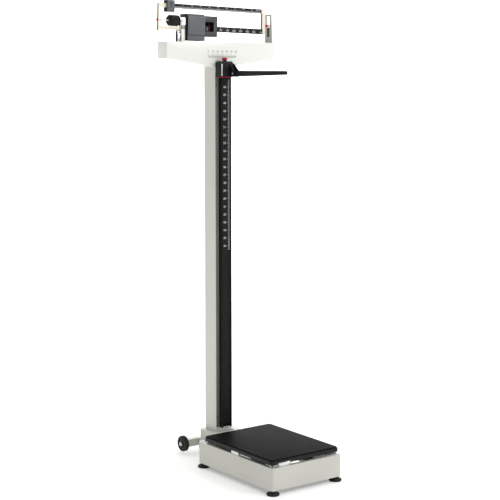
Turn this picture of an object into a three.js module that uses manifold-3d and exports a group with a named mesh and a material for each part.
// Physician beam scale: platform base with a lever train, column, height rod and a two-poise beam.
// Millimetres, +Z up. +X runs to the right and +Y to the back for someone standing in front of the platform.
// The origin is on the floor, under the middle of the whole object.
import * as THREE from 'three'
import { mergeVertices } from 'three/addons/utils/BufferGeometryUtils.js'
import Module from 'manifold-3d'

const wasm = await Module()
wasm.setup()

// ---------- driving dimensions ----------
const gap = 0.3              // between pieces that rest on or pass each other
const running = 0.6          // radial room of a rod in a hole

const baseWidth = 270
const baseLength = 388
const baseFront = -281
const baseBottom = 15
const baseTop = 85
const baseWall = 3
const baseCorner = 8
const baseFlange = 14        // width of the rim that turns in at the top
const footInset = 13
const footRadius = 20
const footStud = 5

const panSideInset = 2.7     // base side to pan side
const panFrontInset = 8.4
const panRearInset = 27.8
const panClear = 7           // pan skirt above the base
const panHeight = 12.1
const panSheet = 3
const panCorner = 10
const matInset = 2.5
const matThickness = 3
const notchWidth = 46
const notchHeight = 4.5

const columnGap = 47         // base back to column front
const columnWidth = 63
const columnDepth = 62
const columnWall = 2
const pedestalWidth = 104
const pedestalRise = 3.7     // pedestal top above the base
const pedestalWall = 3
const headBottom = 1275      // underside of the housing on the column
const headEndRise = 26       // the underside climbs this much to the housing's ends
const headHeight = 77.5
const headWidth = 419
const headFlat = 34
const headDepth = 53
const headSheet = 2

const channelWidth = 38
const channelDepth = 17.7
const channelWall = 2
const channelLip = 3.5
const channelFoot = 13.3     // channel's foot above the pedestal
const channelDrop = 35       // channel's top below the housing
const rodThickness = 5
const rodTail = 12           // rod end above the channel's foot

const wheelRadius = 26
const wheelWidth = 16
const wheelAxleHeight = 34
const wheelSetback = 44      // pedestal back to axle
const wheelBarLength = 160
const wheelBarSize = 24
const axleRadius = 5

const fulcrumInset = 70.5    // housing's left end to the fulcrum
const fulcrumRise = 43.8     // fulcrum line above the housing
const beamTilt = 1.5         // degrees, right end down, pointer on its lower stop
const beamDepth = 7
const railHalf = 8
const upperRail = 65         // upper rail's middle above the fulcrum line
const balanceLine = 20.2     // balance screw and pointer above the fulcrum line
const beamOverhang = 16.5    // beam's left end past the housing
const loopThickness = 3
const loopReach = 15.2       // beam's right end to the trig loop

// ---------- places that follow ----------
const baseBack = baseFront + baseLength
const baseMiddle = baseFront + baseLength / 2
const columnFront = baseBack + columnGap
const columnBack = columnFront + columnDepth
const columnMid = (columnFront + columnBack) / 2
const panFront = baseFront + panFrontInset
const panBack = baseBack - panRearInset
const panBottom = baseTop + panClear
const panTop = panBottom + panHeight
const pedestalTop = baseTop + pedestalRise
const pedestalBack = columnBack + 2
const wheelAxleY = pedestalBack + wheelSetback
const channelFront = columnFront - gap - channelDepth
const channelBottom = pedestalTop + channelFoot
const channelTop = headBottom - channelDrop
const headEndBottom = headBottom + headEndRise
const headTop = headBottom + headHeight
const halfHead = headWidth / 2
const loopRight = halfHead - headSheet - gap
const loopLeft = loopRight - loopThickness
const fulcrumX = fulcrumInset - halfHead
const fulcrumZ = headTop + fulcrumRise
const beamLeft = -halfHead - beamOverhang - fulcrumX
const beamRight = loopLeft - loopReach - fulcrumX
const tilt = THREE.MathUtils.degToRad(beamTilt)

// ---------- materials ----------
const paint = (hex, roughness, metalness) => () =>
  new THREE.MeshStandardMaterial({ color: hex, roughness, metalness })
const whiteEnamel = paint(0xe9e9e4, 0.35, 0)
const blackEnamel = paint(0x161617, 0.4, 0)
const blackRubber = paint(0x18181a, 0.75, 0)
const greyEnamel = paint(0x63666a, 0.45, 0.1)
const chrome = paint(0xd8dadc, 0.15, 1)
const steel = paint(0x9a9ca0, 0.35, 1)
const castIron = paint(0x4a4c4e, 0.6, 0.6)
const aluminium = paint(0xc8cacd, 0.3, 1)
const redPlastic = paint(0xc0272c, 0.35, 0)

// ---------- shaping helpers ----------
const block = (x0, x1, y0, y1, z0, z1) =>
  new THREE.BoxGeometry(x1 - x0, y1 - y0, z1 - z0).translate((x0 + x1) / 2, (y0 + y1) / 2, (z0 + z1) / 2)

function outline(points) {
  return new THREE.Shape(points.map(([a, b]) => new THREE.Vector2(a, b)))
}

function roundedRect(x0, x1, y0, y1, r) {
  const s = new THREE.Shape()
  s.moveTo(x0 + r, y0)
  s.lineTo(x1 - r, y0)
  s.absarc(x1 - r, y0 + r, r, -Math.PI / 2, 0, false)
  s.lineTo(x1, y1 - r)
  s.absarc(x1 - r, y1 - r, r, 0, Math.PI / 2, false)
  s.lineTo(x0 + r, y1)
  s.absarc(x0 + r, y1 - r, r, Math.PI / 2, Math.PI, false)
  s.lineTo(x0, y0 + r)
  s.absarc(x0 + r, y0 + r, r, Math.PI, 1.5 * Math.PI, false)
  return s
}

// An outline in XY raised from z0 to z1, in XZ from y0 to y1, or in YZ from x0 to x1.
function raise(shape, z0, z1, curveSegments = 5) {
  return new THREE.ExtrudeGeometry(shape, { depth: z1 - z0, bevelEnabled: false, curveSegments })
    .translate(0, 0, z0)
}
function raiseY(shape, y0, y1, curveSegments = 5) {
  return raise(shape, 0, y1 - y0, curveSegments).rotateX(Math.PI / 2).translate(0, y1, 0)
}
function raiseX(shape, x0, x1, curveSegments = 5) {
  const turn = new THREE.Matrix4().makeBasis(
    new THREE.Vector3(0, 1, 0), new THREE.Vector3(0, 0, 1), new THREE.Vector3(1, 0, 0))
  return raise(shape, 0, x1 - x0, curveSegments).applyMatrix4(turn).translate(x0, 0, 0)
}

const postZ = (r, x, y, z0, z1, sides = 20) =>
  new THREE.CylinderGeometry(r, r, z1 - z0, sides).rotateX(Math.PI / 2).translate(x, y, (z0 + z1) / 2)
const postX = (r, x0, x1, y, z, sides = 20) =>
  new THREE.CylinderGeometry(r, r, x1 - x0, sides).rotateZ(Math.PI / 2).translate((x0 + x1) / 2, y, z)
const postY = (r, x, y0, y1, z, sides = 20) =>
  new THREE.CylinderGeometry(r, r, y1 - y0, sides).translate(x, (y0 + y1) / 2, z)
const turned = (profile, sides = 28) =>
  new THREE.LatheGeometry(profile.map(([r, z]) => new THREE.Vector2(r, z)), sides).rotateX(Math.PI / 2)

// A flat bar between two points of a plan.
function planBar([x0, y0], [x1, y1], width, z0, z1) {
  const length = Math.hypot(x1 - x0, y1 - y0)
  return block(-width / 2, length + width / 2, -width / 2, width / 2, z0, z1)
    .rotateZ(Math.atan2(y1 - y0, x1 - x0)).translate(x0, y0, 0)
}

function solidOf(geometry) {
  const plain = geometry.clone()
  plain.deleteAttribute('normal')
  plain.deleteAttribute('uv')
  const merged = mergeVertices(plain, 1e-4)
  return new wasm.Manifold(new wasm.Mesh({
    numProp: 3,
    vertProperties: new Float32Array(merged.attributes.position.array),
    triVerts: new Uint32Array(merged.index.array)
  }))
}
function geometryOf(solid) {
  const mesh = solid.getMesh()
  const geometry = new THREE.BufferGeometry()
  geometry.setAttribute('position', new THREE.BufferAttribute(new Float32Array(mesh.vertProperties), 3))
  geometry.setIndex(new THREE.BufferAttribute(new Uint32Array(mesh.triVerts), 1))
  geometry.computeVertexNormals()
  return geometry
}
function cut(body, ...tools) {
  return geometryOf(tools.reduce((solid, tool) => solid.subtract(solidOf(tool)), solidOf(body)))
}
function join(body, ...more) {
  return geometryOf(more.reduce((solid, piece) => solid.add(solidOf(piece)), solidOf(body)))
}

const scale = new THREE.Group()
function add(name, geometry, material, parent = scale) {
  const mesh = new THREE.Mesh(geometry, material())
  mesh.name = name
  parent.add(mesh)
}
const sides = [['left', -1], ['right', 1]]

// ---------- base: pressed casing with four levelling feet ----------
const halfBase = baseWidth / 2
const feet = []
for (const [end, y] of [['front', baseFront + footInset], ['rear', baseBack - footInset]])
  for (const [side, s] of sides) feet.push([`${end}_${side}`, s * (halfBase - footInset), y])

const leverDoor = 28         // half width of the way through to the pedestal
const doorBottom = baseBottom + 17
const doorTop = baseTop - 9
const padSize = 26           // corner plate that takes a foot's stud
const padThickness = 6
const innerHalf = halfBase - baseWall

const shellOuter = raise(roundedRect(-halfBase, halfBase, baseFront, baseBack, baseCorner),
  baseBottom, baseTop)
const shellInner = raise(roundedRect(-innerHalf, innerHalf, baseFront + baseWall, baseBack - baseWall,
  baseCorner - baseWall), baseBottom - 1, baseTop - baseWall)
const shellMouth = raise(roundedRect(-halfBase + baseFlange, halfBase - baseFlange, baseFront + baseFlange,
  baseBack - baseFlange, baseCorner), baseBottom, baseTop + 1)
const rearDoor = block(-leverDoor, leverDoor, baseBack - baseWall - 1, baseBack + 1, doorBottom, doorTop)
const cornerPads = feet.map(([, x, y]) => {
  const sideX = Math.sign(x)
  const sideY = Math.sign(y - baseMiddle)
  const inX = sideX * (innerHalf + 1)
  const inY = baseMiddle + sideY * (baseLength / 2 - baseWall + 1)
  const outX = inX - sideX * padSize
  const outY = inY - sideY * padSize
  return block(Math.min(inX, outX), Math.max(inX, outX), Math.min(inY, outY), Math.max(inY, outY),
    baseBottom, baseBottom + padThickness)
})
const studHoles = feet.map(([, x, y]) =>
  postZ(footStud + gap, x, y, baseBottom - 1, baseBottom + padThickness + 1))
add('base_shell', cut(join(cut(shellOuter, shellInner, shellMouth), ...cornerPads), ...studHoles, rearDoor),
  whiteEnamel)

const neck = baseBottom - gap
for (const [place, x, y] of feet) {
  const profile = [[0, 0], [footRadius - 2, 0], [footRadius, 2], [footRadius, 6.5], [footRadius - 2.5, 9],
    [footStud + 5, neck - 1.5], [footStud + 3, neck], [footStud, neck], [footStud, neck + 19], [0, neck + 19]]
  add(`foot_${place}`, turned(profile).translate(x, y, 0), blackRubber)
}

const studInset = 9          // guide stud from the base's edge
for (const [end, y] of [['front', panFront + panSheet + 8], ['rear', panBack - panSheet - 8]])
  for (const [side, s] of sides)
    add(`guide_stud_${end}_${side}`,
      postZ(2.5, s * (halfBase - studInset), y, baseTop + gap, panTop - panSheet - 3, 14), chrome)

// ---------- lever train inside the base ----------
const pivotFront = baseFront + 30
const pivotRear = baseBack - 30
const pivotX = halfBase - 27
const shortArm = 11          // pivot to platform bearing
const leverThickness = 8
const longLeverZ = baseTop - 33
const shortLeverZ = longLeverZ + leverThickness + 4
const knifeHeight = 7.4
const barHalf = innerHalf - gap
const linkY = baseMiddle + 2
const leverBar = 16

const frontBarTop = longLeverZ - 2 * gap - knifeHeight
const rearBarTop = shortLeverZ - 2 * gap - knifeHeight
const barBottom = baseBottom + 9
add('fulcrum_bar_front',
  block(-barHalf, barHalf, pivotFront - 5, pivotFront + 5, barBottom, frontBarTop), castIron)
add('fulcrum_bar_rear', cut(
  block(-barHalf, barHalf, pivotRear - 5, pivotRear + 5, barBottom, rearBarTop),
  block(-leverBar, leverBar, pivotRear - 6, pivotRear + 6, longLeverZ - 8, rearBarTop + 1)), castIron)

const wedge = (y, top) => outline([[y - 4, top], [y, top - knifeHeight], [y + 4, top]])
for (const [side, s] of sides) {
  const inner = s * (pivotX - 6)
  const outer = s * (pivotX + 8)
  const span = [Math.min(inner, outer), Math.max(inner, outer)]
  add(`long_lever_knife_${side}`, raiseX(wedge(pivotFront, longLeverZ - gap), ...span), steel)
  add(`short_lever_knife_${side}`, raiseX(wedge(pivotRear, shortLeverZ - gap), ...span), steel)
}

const rodRadius = 3
const apexY = baseBack - 45  // where the long lever's two arms meet
add('long_lever', cut(join(
  planBar([-pivotX, pivotFront], [0, apexY], leverBar, longLeverZ, longLeverZ + leverThickness),
  planBar([pivotX, pivotFront], [0, apexY], leverBar, longLeverZ, longLeverZ + leverThickness),
  planBar([0, apexY - 15], [0, columnMid + 4], leverBar, longLeverZ, longLeverZ + leverThickness),
  planBar([-pivotX / 2, linkY], [pivotX / 2, linkY], leverBar, longLeverZ, longLeverZ + leverThickness)),
postZ(rodRadius + running, 0, columnMid, longLeverZ - 1, longLeverZ + leverThickness + 1, 16)), castIron)
add('short_lever', join(
  planBar([-pivotX, pivotRear], [0, linkY], leverBar, shortLeverZ, shortLeverZ + leverThickness),
  planBar([pivotX, pivotRear], [0, linkY], leverBar, shortLeverZ, shortLeverZ + leverThickness)), castIron)
add('lever_link',
  block(-6, 6, linkY - 5, linkY + 5, longLeverZ + leverThickness + gap, shortLeverZ - gap), steel)

// ---------- platform: pan with a skirt, rubber mat and four bearing posts ----------
const halfPan = halfBase - panSideInset
const panShape = (inset) => roundedRect(-halfPan + inset, halfPan - inset, panFront + inset, panBack - inset,
  panCorner - inset * 0.8)
const notchX = -halfPan + 50
add('platform_pan', cut(
  raise(panShape(0), panBottom, panTop),
  raise(panShape(panSheet), panBottom - 1, panTop - panSheet),
  block(notchX - notchWidth / 2, notchX + notchWidth / 2, panFront - 1, panFront + panSheet + 1,
    panBottom - 1, panBottom + notchHeight),
  block(-notchX - notchWidth / 2, -notchX + notchWidth / 2, panBack - panSheet - 1, panBack + 1,
    panBottom - 1, panBottom + notchHeight),
  block(-halfPan - 1, halfPan + 1, baseMiddle - notchWidth / 2, baseMiddle + notchWidth / 2,
    panBottom - 1, panBottom + notchHeight)), blackEnamel)
const matShape = (inset) => panShape(matInset + inset)
add('platform_mat', join(
  raise(matShape(0), panTop + gap, panTop + gap + matThickness - 1),
  raise(matShape(1), panTop + gap + matThickness - 1.5, panTop + gap + matThickness)), blackRubber)
const along = (from, to, t) => from + (to - from) * t
const frontPostX = along(pivotX, 0, shortArm / (apexY - pivotFront))
const rearPostX = along(pivotX, 0, shortArm / (pivotRear - linkY))
for (const [side, s] of sides) {
  add(`platform_post_front_${side}`, postZ(4, s * frontPostX, pivotFront + shortArm,
    longLeverZ + leverThickness + gap, panTop - panSheet - gap, 16), chrome)
  add(`platform_post_rear_${side}`, postZ(4, s * rearPostX, pivotRear - shortArm,
    shortLeverZ + leverThickness + gap, panTop - panSheet - gap, 16), chrome)
}

// ---------- pedestal, wheels and column ----------
const halfPedestal = pedestalWidth / 2
const pedestalFront = baseBack + gap
const columnHoleHalf = 16
add('column_pedestal', cut(
  raise(roundedRect(-halfPedestal, halfPedestal, pedestalFront, pedestalBack, 5), baseBottom, pedestalTop),
  block(-halfPedestal + pedestalWall, halfPedestal - pedestalWall, pedestalFront + pedestalWall,
    pedestalBack - pedestalWall, baseBottom - 1, pedestalTop - pedestalWall),
  block(-leverDoor, leverDoor, pedestalFront - 1, pedestalFront + pedestalWall + 1, doorBottom, doorTop),
  block(-columnHoleHalf, columnHoleHalf, columnMid - columnHoleHalf, columnMid + columnHoleHalf,
    baseBottom, pedestalTop + 1)), whiteEnamel)

const armInner = 29
const armOuter = 35
const bracketBack = wheelAxleY - wheelBarSize / 2 - gap
const bracketPlate = pedestalBack + gap
add('wheel_bracket', join(
  block(-halfPedestal + 10, halfPedestal - 10, bracketPlate, bracketPlate + 4,
    baseBottom + 4, pedestalTop - 18),
  ...sides.map(([, s]) => block(Math.min(s * armInner, s * armOuter), Math.max(s * armInner, s * armOuter),
    bracketPlate + 3, bracketBack, wheelAxleHeight - 22, wheelAxleHeight + 14))), whiteEnamel)
const halfBar = wheelBarLength / 2
add('wheel_bar', block(-halfBar, halfBar, wheelAxleY - wheelBarSize / 2, wheelAxleY + wheelBarSize / 2,
  wheelAxleHeight - wheelBarSize / 2, wheelAxleHeight + wheelBarSize / 2), whiteEnamel)
const hubRoom = 1
const wheelInner = halfBar + hubRoom
for (const [side, s] of sides) {
  const tread = [[axleRadius + running, 0], [wheelRadius - 10, 0], [wheelRadius - 8, 1.5],
    [wheelRadius - 2, 1.5],
    [wheelRadius, 4], [wheelRadius, wheelWidth - 4], [wheelRadius - 2, wheelWidth - 1.5],
    [wheelRadius - 8, wheelWidth - 1.5], [wheelRadius - 10, wheelWidth], [axleRadius + running, wheelWidth],
    [axleRadius + running, 0]]
  const wheel = turned(tread, 36).rotateY(s * Math.PI / 2)
    .translate(s * wheelInner, wheelAxleY, wheelAxleHeight)
  add(`wheel_${side}`, wheel, blackRubber)
  const bolt = turned([[0, 0], [axleRadius, 0], [axleRadius, wheelWidth + hubRoom], [7, wheelWidth + hubRoom],
    [7, wheelWidth + 3.5 + hubRoom], [4.5, wheelWidth + 6 + hubRoom], [0, wheelWidth + 6.5 + hubRoom]], 20)
    .rotateY(s * Math.PI / 2).translate(s * (halfBar + gap), wheelAxleY, wheelAxleHeight)
  add(`axle_bolt_${side}`, bolt, chrome)
}

const columnBottom = pedestalTop + gap
const columnTop = headBottom - gap
const halfColumn = columnWidth / 2
add('column', cut(
  raise(roundedRect(-halfColumn, halfColumn, columnFront, columnBack, 2.5), columnBottom, columnTop, 3),
  block(-halfColumn + columnWall, halfColumn - columnWall, columnFront + columnWall, columnBack - columnWall,
    columnBottom - 1, columnTop + 1)), whiteEnamel)

// ---------- height rod in its channel ----------
const halfChannel = channelWidth / 2
const slotHalf = halfChannel - channelLip
add('rod_channel', cut(
  block(-halfChannel, halfChannel, channelFront, columnFront - gap, channelBottom, channelTop),
  block(-halfChannel + channelWall, halfChannel - channelWall, channelFront + channelWall,
    columnFront - gap - channelWall, channelBottom - 1, channelTop + 1),
  block(-slotHalf, slotHalf, channelFront - 1, channelFront + channelWall + 1,
    channelBottom - 1, channelTop + 1)),
blackEnamel)

const indexHeight = 2.4
const indexBottom = channelTop + gap
const rodTop = indexBottom + indexHeight
const halfRod = halfChannel - channelWall - 0.5
const rodFront = channelFront + channelWall + 0.4
add('height_index', cut(
  block(-halfChannel - 1, halfChannel + 1, channelFront - 1, columnFront - gap, indexBottom, rodTop),
  block(-halfRod - running, halfRod + running, rodFront - running, rodFront + rodThickness + running,
    indexBottom - 1, rodTop + 1)), redPlastic)
add('height_rod', block(-halfRod, halfRod, rodFront, rodFront + rodThickness,
  channelBottom + rodTail, rodTop), aluminium)

const rodHead = { left: -halfChannel - 10.5, right: halfChannel - 3, depth: 34.5, height: 48.8 }
const rodHeadBottom = rodTop + gap
const rodHeadFront = columnFront - gap - rodHead.depth
const rodHeadTop = rodHeadBottom + rodHead.height
const armX1 = rodHead.right - 0.5
const armX0 = armX1 - 11
const earWidth = 4
const pinY = rodHeadFront - 15
const pinZ = rodHeadBottom + 11
const pinRadius = 2.5
const earShape = outline([[rodHeadFront + 2, rodHeadBottom], [pinY - 4, rodHeadBottom],
  [pinY - 9, rodHeadBottom + 6], [pinY - 9, rodHeadBottom + 19], [rodHeadFront + 2, rodHeadTop - 7]])
const headPlan = new THREE.Shape()
headPlan.moveTo(rodHead.left, rodHeadBottom)
headPlan.lineTo(rodHead.right + gap + earWidth, rodHeadBottom)
headPlan.lineTo(rodHead.right + gap + earWidth, rodHeadTop - 14)
headPlan.lineTo(rodHead.right - 6, rodHeadTop)
headPlan.lineTo(rodHead.left + 4, rodHeadTop)
headPlan.lineTo(rodHead.left, rodHeadTop - 4)
const knobX = (rodHead.left + rodHead.right) / 2
const knobY = (rodHeadFront + columnFront) / 2
const knobWell = 6
const stemRadius = 3
add('rod_head', cut(join(
  raiseY(headPlan, rodHeadFront, columnFront - gap),
  raiseX(earShape, armX0 - gap - earWidth, armX0 - gap),
  raiseX(earShape, armX1 + gap, armX1 + gap + earWidth)),
postX(pinRadius + gap, armX0 - 10, armX1 + 10, pinY, pinZ, 16),
postZ(stemRadius + running, knobX, knobY, rodHeadTop - knobWell, rodHeadTop + 1, 16)), blackEnamel)
const knobRise = 4.5
add('rod_button', turned([[0, -knobWell + 5], [stemRadius, -knobWell + 5], [stemRadius, knobRise],
  [8.2, knobRise],
  [9.2, knobRise + 1.2], [9.2, knobRise + 4], [7, knobRise + 6.5], [0, knobRise + 7.3]], 24)
  .translate(knobX, knobY, rodHeadTop), redPlastic)
const armReach = 262
const armShape = new THREE.Shape()
armShape.moveTo(pinY + 9, pinZ - 9)
armShape.lineTo(pinY + 9, pinZ + 8.5)
armShape.lineTo(pinY - armReach + 6, pinZ + 8)
armShape.absarc(pinY - armReach + 6, pinZ + 2, 6, Math.PI / 2, 1.5 * Math.PI, false)
armShape.lineTo(pinY - 6, pinZ - 10)
add('measuring_arm', cut(raiseX(armShape, armX0, armX1),
  postX(pinRadius + gap, armX0 - 1, armX1 + 1, pinY, pinZ, 16)), blackEnamel)
add('arm_pin', turned([[0, 0], [4.2, 0], [4.2, 1.6], [pinRadius, 1.6], [pinRadius, 21.5], [0, 21.5]], 18)
  .rotateY(Math.PI / 2).translate(armX0 - gap - earWidth - 1.9, pinY, pinZ), steel)

// ---------- housing: folded trough with the trig loop ----------
const headFrontY = columnMid - headDepth / 2
const headBackY = columnMid + headDepth / 2
const trough = (inset, top) => outline([[-halfHead + inset, top], [-halfHead + inset, headEndBottom + inset],
  [-headFlat, headBottom + inset], [headFlat, headBottom + inset],
  [halfHead - inset, headEndBottom + inset], [halfHead - inset, top]])
const rodWay = 20
add('head_housing', cut(
  raiseY(trough(0, headTop), headFrontY, headBackY),
  raiseY(trough(headSheet, headTop + 2), headFrontY + headSheet, headBackY - headSheet),
  block(-rodWay, rodWay, columnMid - rodWay, columnMid + rodWay, headBottom - 1, headBottom + headSheet + 3)),
whiteEnamel)

const loopBottom = headEndBottom + 5
const loopFoot = 21
const loopHead = 16.3
const loopSlot = 8
const pointerTip = 2.2        // half height of the pointer where it crosses the loop
const pointerRest = fulcrumZ + balanceLine * Math.cos(tilt) - (beamRight + 17) * Math.sin(tilt)
const slotBottom = pointerRest - pointerTip - 1.4
const slotTop = slotBottom + 34.8
const loopTop = slotTop + 6
add('trig_loop', cut(
  raiseX(outline([[columnMid - loopFoot, loopBottom], [columnMid + loopFoot, loopBottom],
    [columnMid + loopHead, loopTop - 3], [columnMid + loopHead - 3, loopTop],
    [columnMid - loopHead + 3, loopTop],
    [columnMid - loopHead, loopTop - 3]]), loopLeft, loopRight),
  block(loopLeft - 1, loopRight + 1, columnMid - loopSlot, columnMid + loopSlot, slotBottom, slotTop)),
whiteEnamel)

// The fulcrum stand straddles the transfer lever on the trough's floor.
const floorAt = (x) => headBottom + headSheet + (headEndBottom - headBottom)
  * Math.max(0, Math.abs(x) - headFlat) / (halfHead - headFlat)
const cheekIn = 9
const cheekOut = 13
const standHalf = 7
const standTop = fulcrumZ - 4 - gap
const standFoot = floorAt(fulcrumX - 10) + gap + 0.4
add('fulcrum_stand', join(
  block(fulcrumX - 10, fulcrumX + 9, columnMid - cheekOut, columnMid + cheekOut, standFoot, standFoot + 6),
  ...[-1, 1].map((s) => block(fulcrumX - standHalf, fulcrumX + standHalf,
    columnMid + Math.min(s * cheekIn, s * cheekOut), columnMid + Math.max(s * cheekIn, s * cheekOut),
    standFoot + 5, standTop))), whiteEnamel)

const loadArm = 12           // fulcrum to load pin
const loadDrop = 17          // load pin below the rail's middle
const loadSwing = 1.6        // the pin swings this far to the right over the beam's travel
const transferX = 24.5 - halfHead
const leverZ = headBottom + 47
const loadX = fulcrumX - loadArm * Math.cos(tilt) - loadDrop * Math.sin(tilt)
const loadZ = fulcrumZ - loadDrop * Math.cos(tilt) + loadArm * Math.sin(tilt)
const standWidth = 4
add('transfer_stand', raiseY(outline([[transferX - 7, floorAt(transferX - 7) + gap + 0.4],
  [transferX + 7, floorAt(transferX - 7) + gap + 0.4], [transferX, leverZ - gap]]),
columnMid - standWidth, columnMid + standWidth), steel)
add('transfer_lever', cut(join(
  block(transferX - 6, 6, columnMid - 3, columnMid + 3, leverZ, leverZ + leverThickness),
  block(-9, 9, columnMid - 8, columnMid + 8, leverZ, leverZ + leverThickness)),
postZ(rodRadius + running, 0, columnMid, leverZ - 1, leverZ + leverThickness + 1, 16)), steel)
const prongIn = 4.5
const prongOut = 7.5
const linkLeft = loadX - 4
const linkRight = loadX + loadSwing + 4
const eye = 2 + gap
add('load_link', cut(join(
  block(linkLeft, linkRight, columnMid - prongOut, columnMid + prongOut, leverZ - 3 - gap, leverZ - gap),
  ...[-1, 1].map((s) => block(linkLeft, linkRight, columnMid + Math.min(s * prongIn, s * prongOut),
    columnMid + Math.max(s * prongIn, s * prongOut), leverZ - 3 - gap, loadZ + 4.5))),
join(postY(eye, loadX, columnMid - 10, columnMid + 10, loadZ, 16),
  block(loadX, loadX + loadSwing, columnMid - 10, columnMid + 10, loadZ - eye, loadZ + eye),
  postY(eye, loadX + loadSwing, columnMid - 10, columnMid + 10, loadZ, 16))), chrome)

add('draft_rod', postZ(rodRadius, 0, columnMid, longLeverZ - 9, leverZ + leverThickness + 9, 14), steel)
const nut = (z0, z1) => cut(postZ(6, 0, columnMid, z0, z1, 6),
  postZ(rodRadius + gap, 0, columnMid, z0 - 1, z1 + 1, 14))
add('draft_nut_top', nut(leverZ + leverThickness + gap, leverZ + leverThickness + gap + 5), chrome)
add('draft_nut_bottom', nut(longLeverZ - gap - 5, longLeverZ - gap), chrome)

// ---------- beam: black casting with two graduated bars, drawn level and then tilted ----------
const beam = new THREE.Group()
beam.position.set(fulcrumX, columnMid, fulcrumZ)
beam.rotation.y = tilt
scale.add(beam)

const halfBeam = beamDepth / 2
const plateThickness = 1.5
const barHeight = 14.4
const leftRailTop = 2.5      // the lower rail is cut down under the counterweight
const postWidth = 4
const postTail = 5           // the left post ends this far under the lower rail
const beamBar = (u0, u1, w0, w1) => block(u0, u1, -halfBeam, halfBeam, w0, w1)
const lugRight = 3
const balanceScrewRadius = 2.2
const pivotHole = (u, w) => postY(2 + gap, u, -halfBeam - 1, halfBeam + 1, w, 16)
const knifeHole = outline([[-3.6, 3.6], [0, -4.5], [3.6, 3.6]])
add('beam_frame', cut(join(
  beamBar(beamLeft, beamLeft + postWidth, -railHalf - postTail, upperRail + barHeight / 2),
  beamBar(beamLeft, -4, -railHalf, leftRailTop),
  beamBar(-5, beamRight - 5, -railHalf, railHalf),
  beamBar(-4, lugRight, railHalf - 1, balanceLine + 6),
  beamBar(beamLeft, beamRight - 5, upperRail - barHeight / 2 + 1, upperRail + barHeight / 2 - 1),
  beamBar(beamRight - 13, beamRight, -railHalf, upperRail + barHeight / 2),
  beamBar(-loadArm - 4, -loadArm + 4, -loadDrop - 4, -railHalf + 1)),
pivotHole(-loadArm, -loadDrop), raiseY(knifeHole, -halfBeam - 1, halfBeam + 1),
postX(balanceScrewRadius + gap, beamLeft - 1, lugRight + 1, 0, balanceLine, 16)), blackEnamel, beam)
const plateFront = -halfBeam - gap - plateThickness
add('upper_scale_bar', block(-30, beamRight - 18, plateFront, -halfBeam - gap,
  upperRail - barHeight / 2, upperRail + barHeight / 2), blackEnamel, beam)
add('lower_scale_bar', block(14, beamRight - 12, plateFront, -halfBeam - gap,
  -railHalf - 0.5, railHalf + 0.5), blackEnamel, beam)
add('fulcrum_knife', raiseY(outline([[-3, 3], [0, -4], [3, 3]]), -cheekOut, cheekOut), steel, beam)
add('load_pin', postY(2, -loadArm, -8, 8, -loadDrop, 16), steel, beam)
add('balance_screw', turned([[0, -5], [4.2, -5], [4.2, -gap], [balanceScrewRadius, -gap],
  [balanceScrewRadius, lugRight - beamLeft + 4], [0, lugRight - beamLeft + 4]], 16)
  .rotateY(Math.PI / 2).translate(beamLeft, 0, balanceLine), steel, beam)
add('beam_pointer', raiseY(outline([[0, -4], [8, -4], [14, -pointerTip], [22, -pointerTip], [22, pointerTip],
  [14, pointerTip], [8, 4], [0, 4]]), -2.5, 2.5).translate(beamRight + gap, 0, balanceLine), redPlastic, beam)

const weightLeft = beamLeft + 37.5
const weightLength = 40.5
const weightRadius = 17.2
const bore = balanceScrewRadius + gap
const chamfer = 5
add('counterweight', turned([[bore, 0], [weightRadius - chamfer, 0], [weightRadius, chamfer],
  [weightRadius, weightLength - chamfer], [weightRadius - chamfer, weightLength], [bore, weightLength],
  [bore, 0]], 30)
  .rotateY(Math.PI / 2).translate(weightLeft, 0, balanceLine), blackEnamel, beam)

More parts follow.
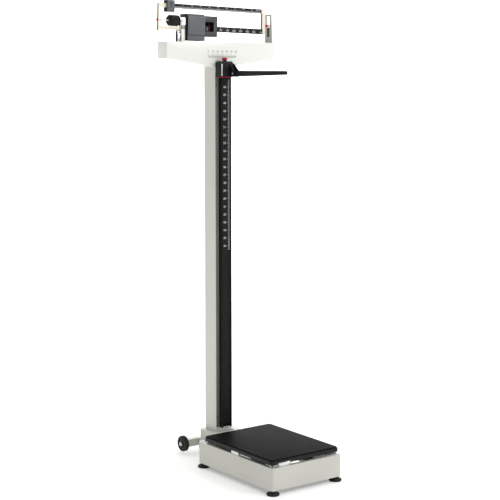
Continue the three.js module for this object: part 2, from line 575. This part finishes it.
const poiseDepth = 46
const smallPoise = { left: beamLeft + 28.5, width: 27.5, depth: 21, height: 37 }
const smallPoiseMid = upperRail - 1
const barRoom = 0.8
add('small_poise', cut(
  raiseX(roundedRect(-smallPoise.depth / 2, smallPoise.depth / 2, smallPoiseMid - smallPoise.height / 2,
    smallPoiseMid + smallPoise.height / 2, 2), smallPoise.left, smallPoise.left + smallPoise.width),
  block(smallPoise.left - 1, smallPoise.left + smallPoise.width + 1, plateFront - barRoom, halfBeam + barRoom,
    upperRail - barHeight / 2 - barRoom, upperRail + barHeight / 2 + barRoom)), greyEnamel, beam)

const poise = {
  left: 10.9, bodyWidth: 65.8, bottom: -39.5, top: 43, blockWidth: 49, blockBottom: -25, blockTop: 39
}
const poiseRight = poise.left + poise.bodyWidth
const halfPoise = poiseDepth / 2
const mouthFront = plateFront - 1.2
const mouthBottom = -railHalf - 0.5 - barRoom
const mouthTop = 32
const cheekTop = 7           // slope at the body's top front edge
add('large_poise_body', cut(
  raiseX(outline([[-halfPoise, poise.bottom], [halfPoise, poise.bottom], [halfPoise, poise.top],
    [-halfPoise + cheekTop, poise.top], [-halfPoise, poise.top - cheekTop]]), poise.left, poiseRight),
  block(poise.left - 1, poiseRight + 1, mouthFront, halfPoise + 1, mouthBottom, mouthTop)), greyEnamel, beam)
const blockLeft = poiseRight + gap
const blockRight = poiseRight + poise.blockWidth
const blockFront = -halfPoise + 4
const blockBackWall = 3
add('large_poise_window', cut(
  block(blockLeft, blockRight, blockFront, halfPoise - 4, poise.blockBottom, poise.blockTop),
  block(blockLeft - 1, blockRight + 1, mouthFront, halfPoise - 4 - blockBackWall, mouthBottom, mouthTop),
  block(blockLeft + 2, blockRight - 14, blockFront - 1, mouthFront + 1, mouthBottom, mouthBottom + 30)),
greyEnamel, beam)
add('poise_pawl', raiseY(outline([[-8, mouthTop - gap], [-8, 20], [-3, railHalf + 0.5 + barRoom],
  [3, railHalf + 0.5 + barRoom], [8, 20], [8, mouthTop - gap]]), -3, 3)
  .translate(poise.left + poise.bodyWidth / 2, 0, 0), steel, beam)

// The origin goes on the floor under the middle of the object's box.
const box = new THREE.Box3().setFromObject(scale, true)
scale.position.set(-(box.min.x + box.max.x) / 2, -(box.min.y + box.max.y) / 2, 0)

export default scale
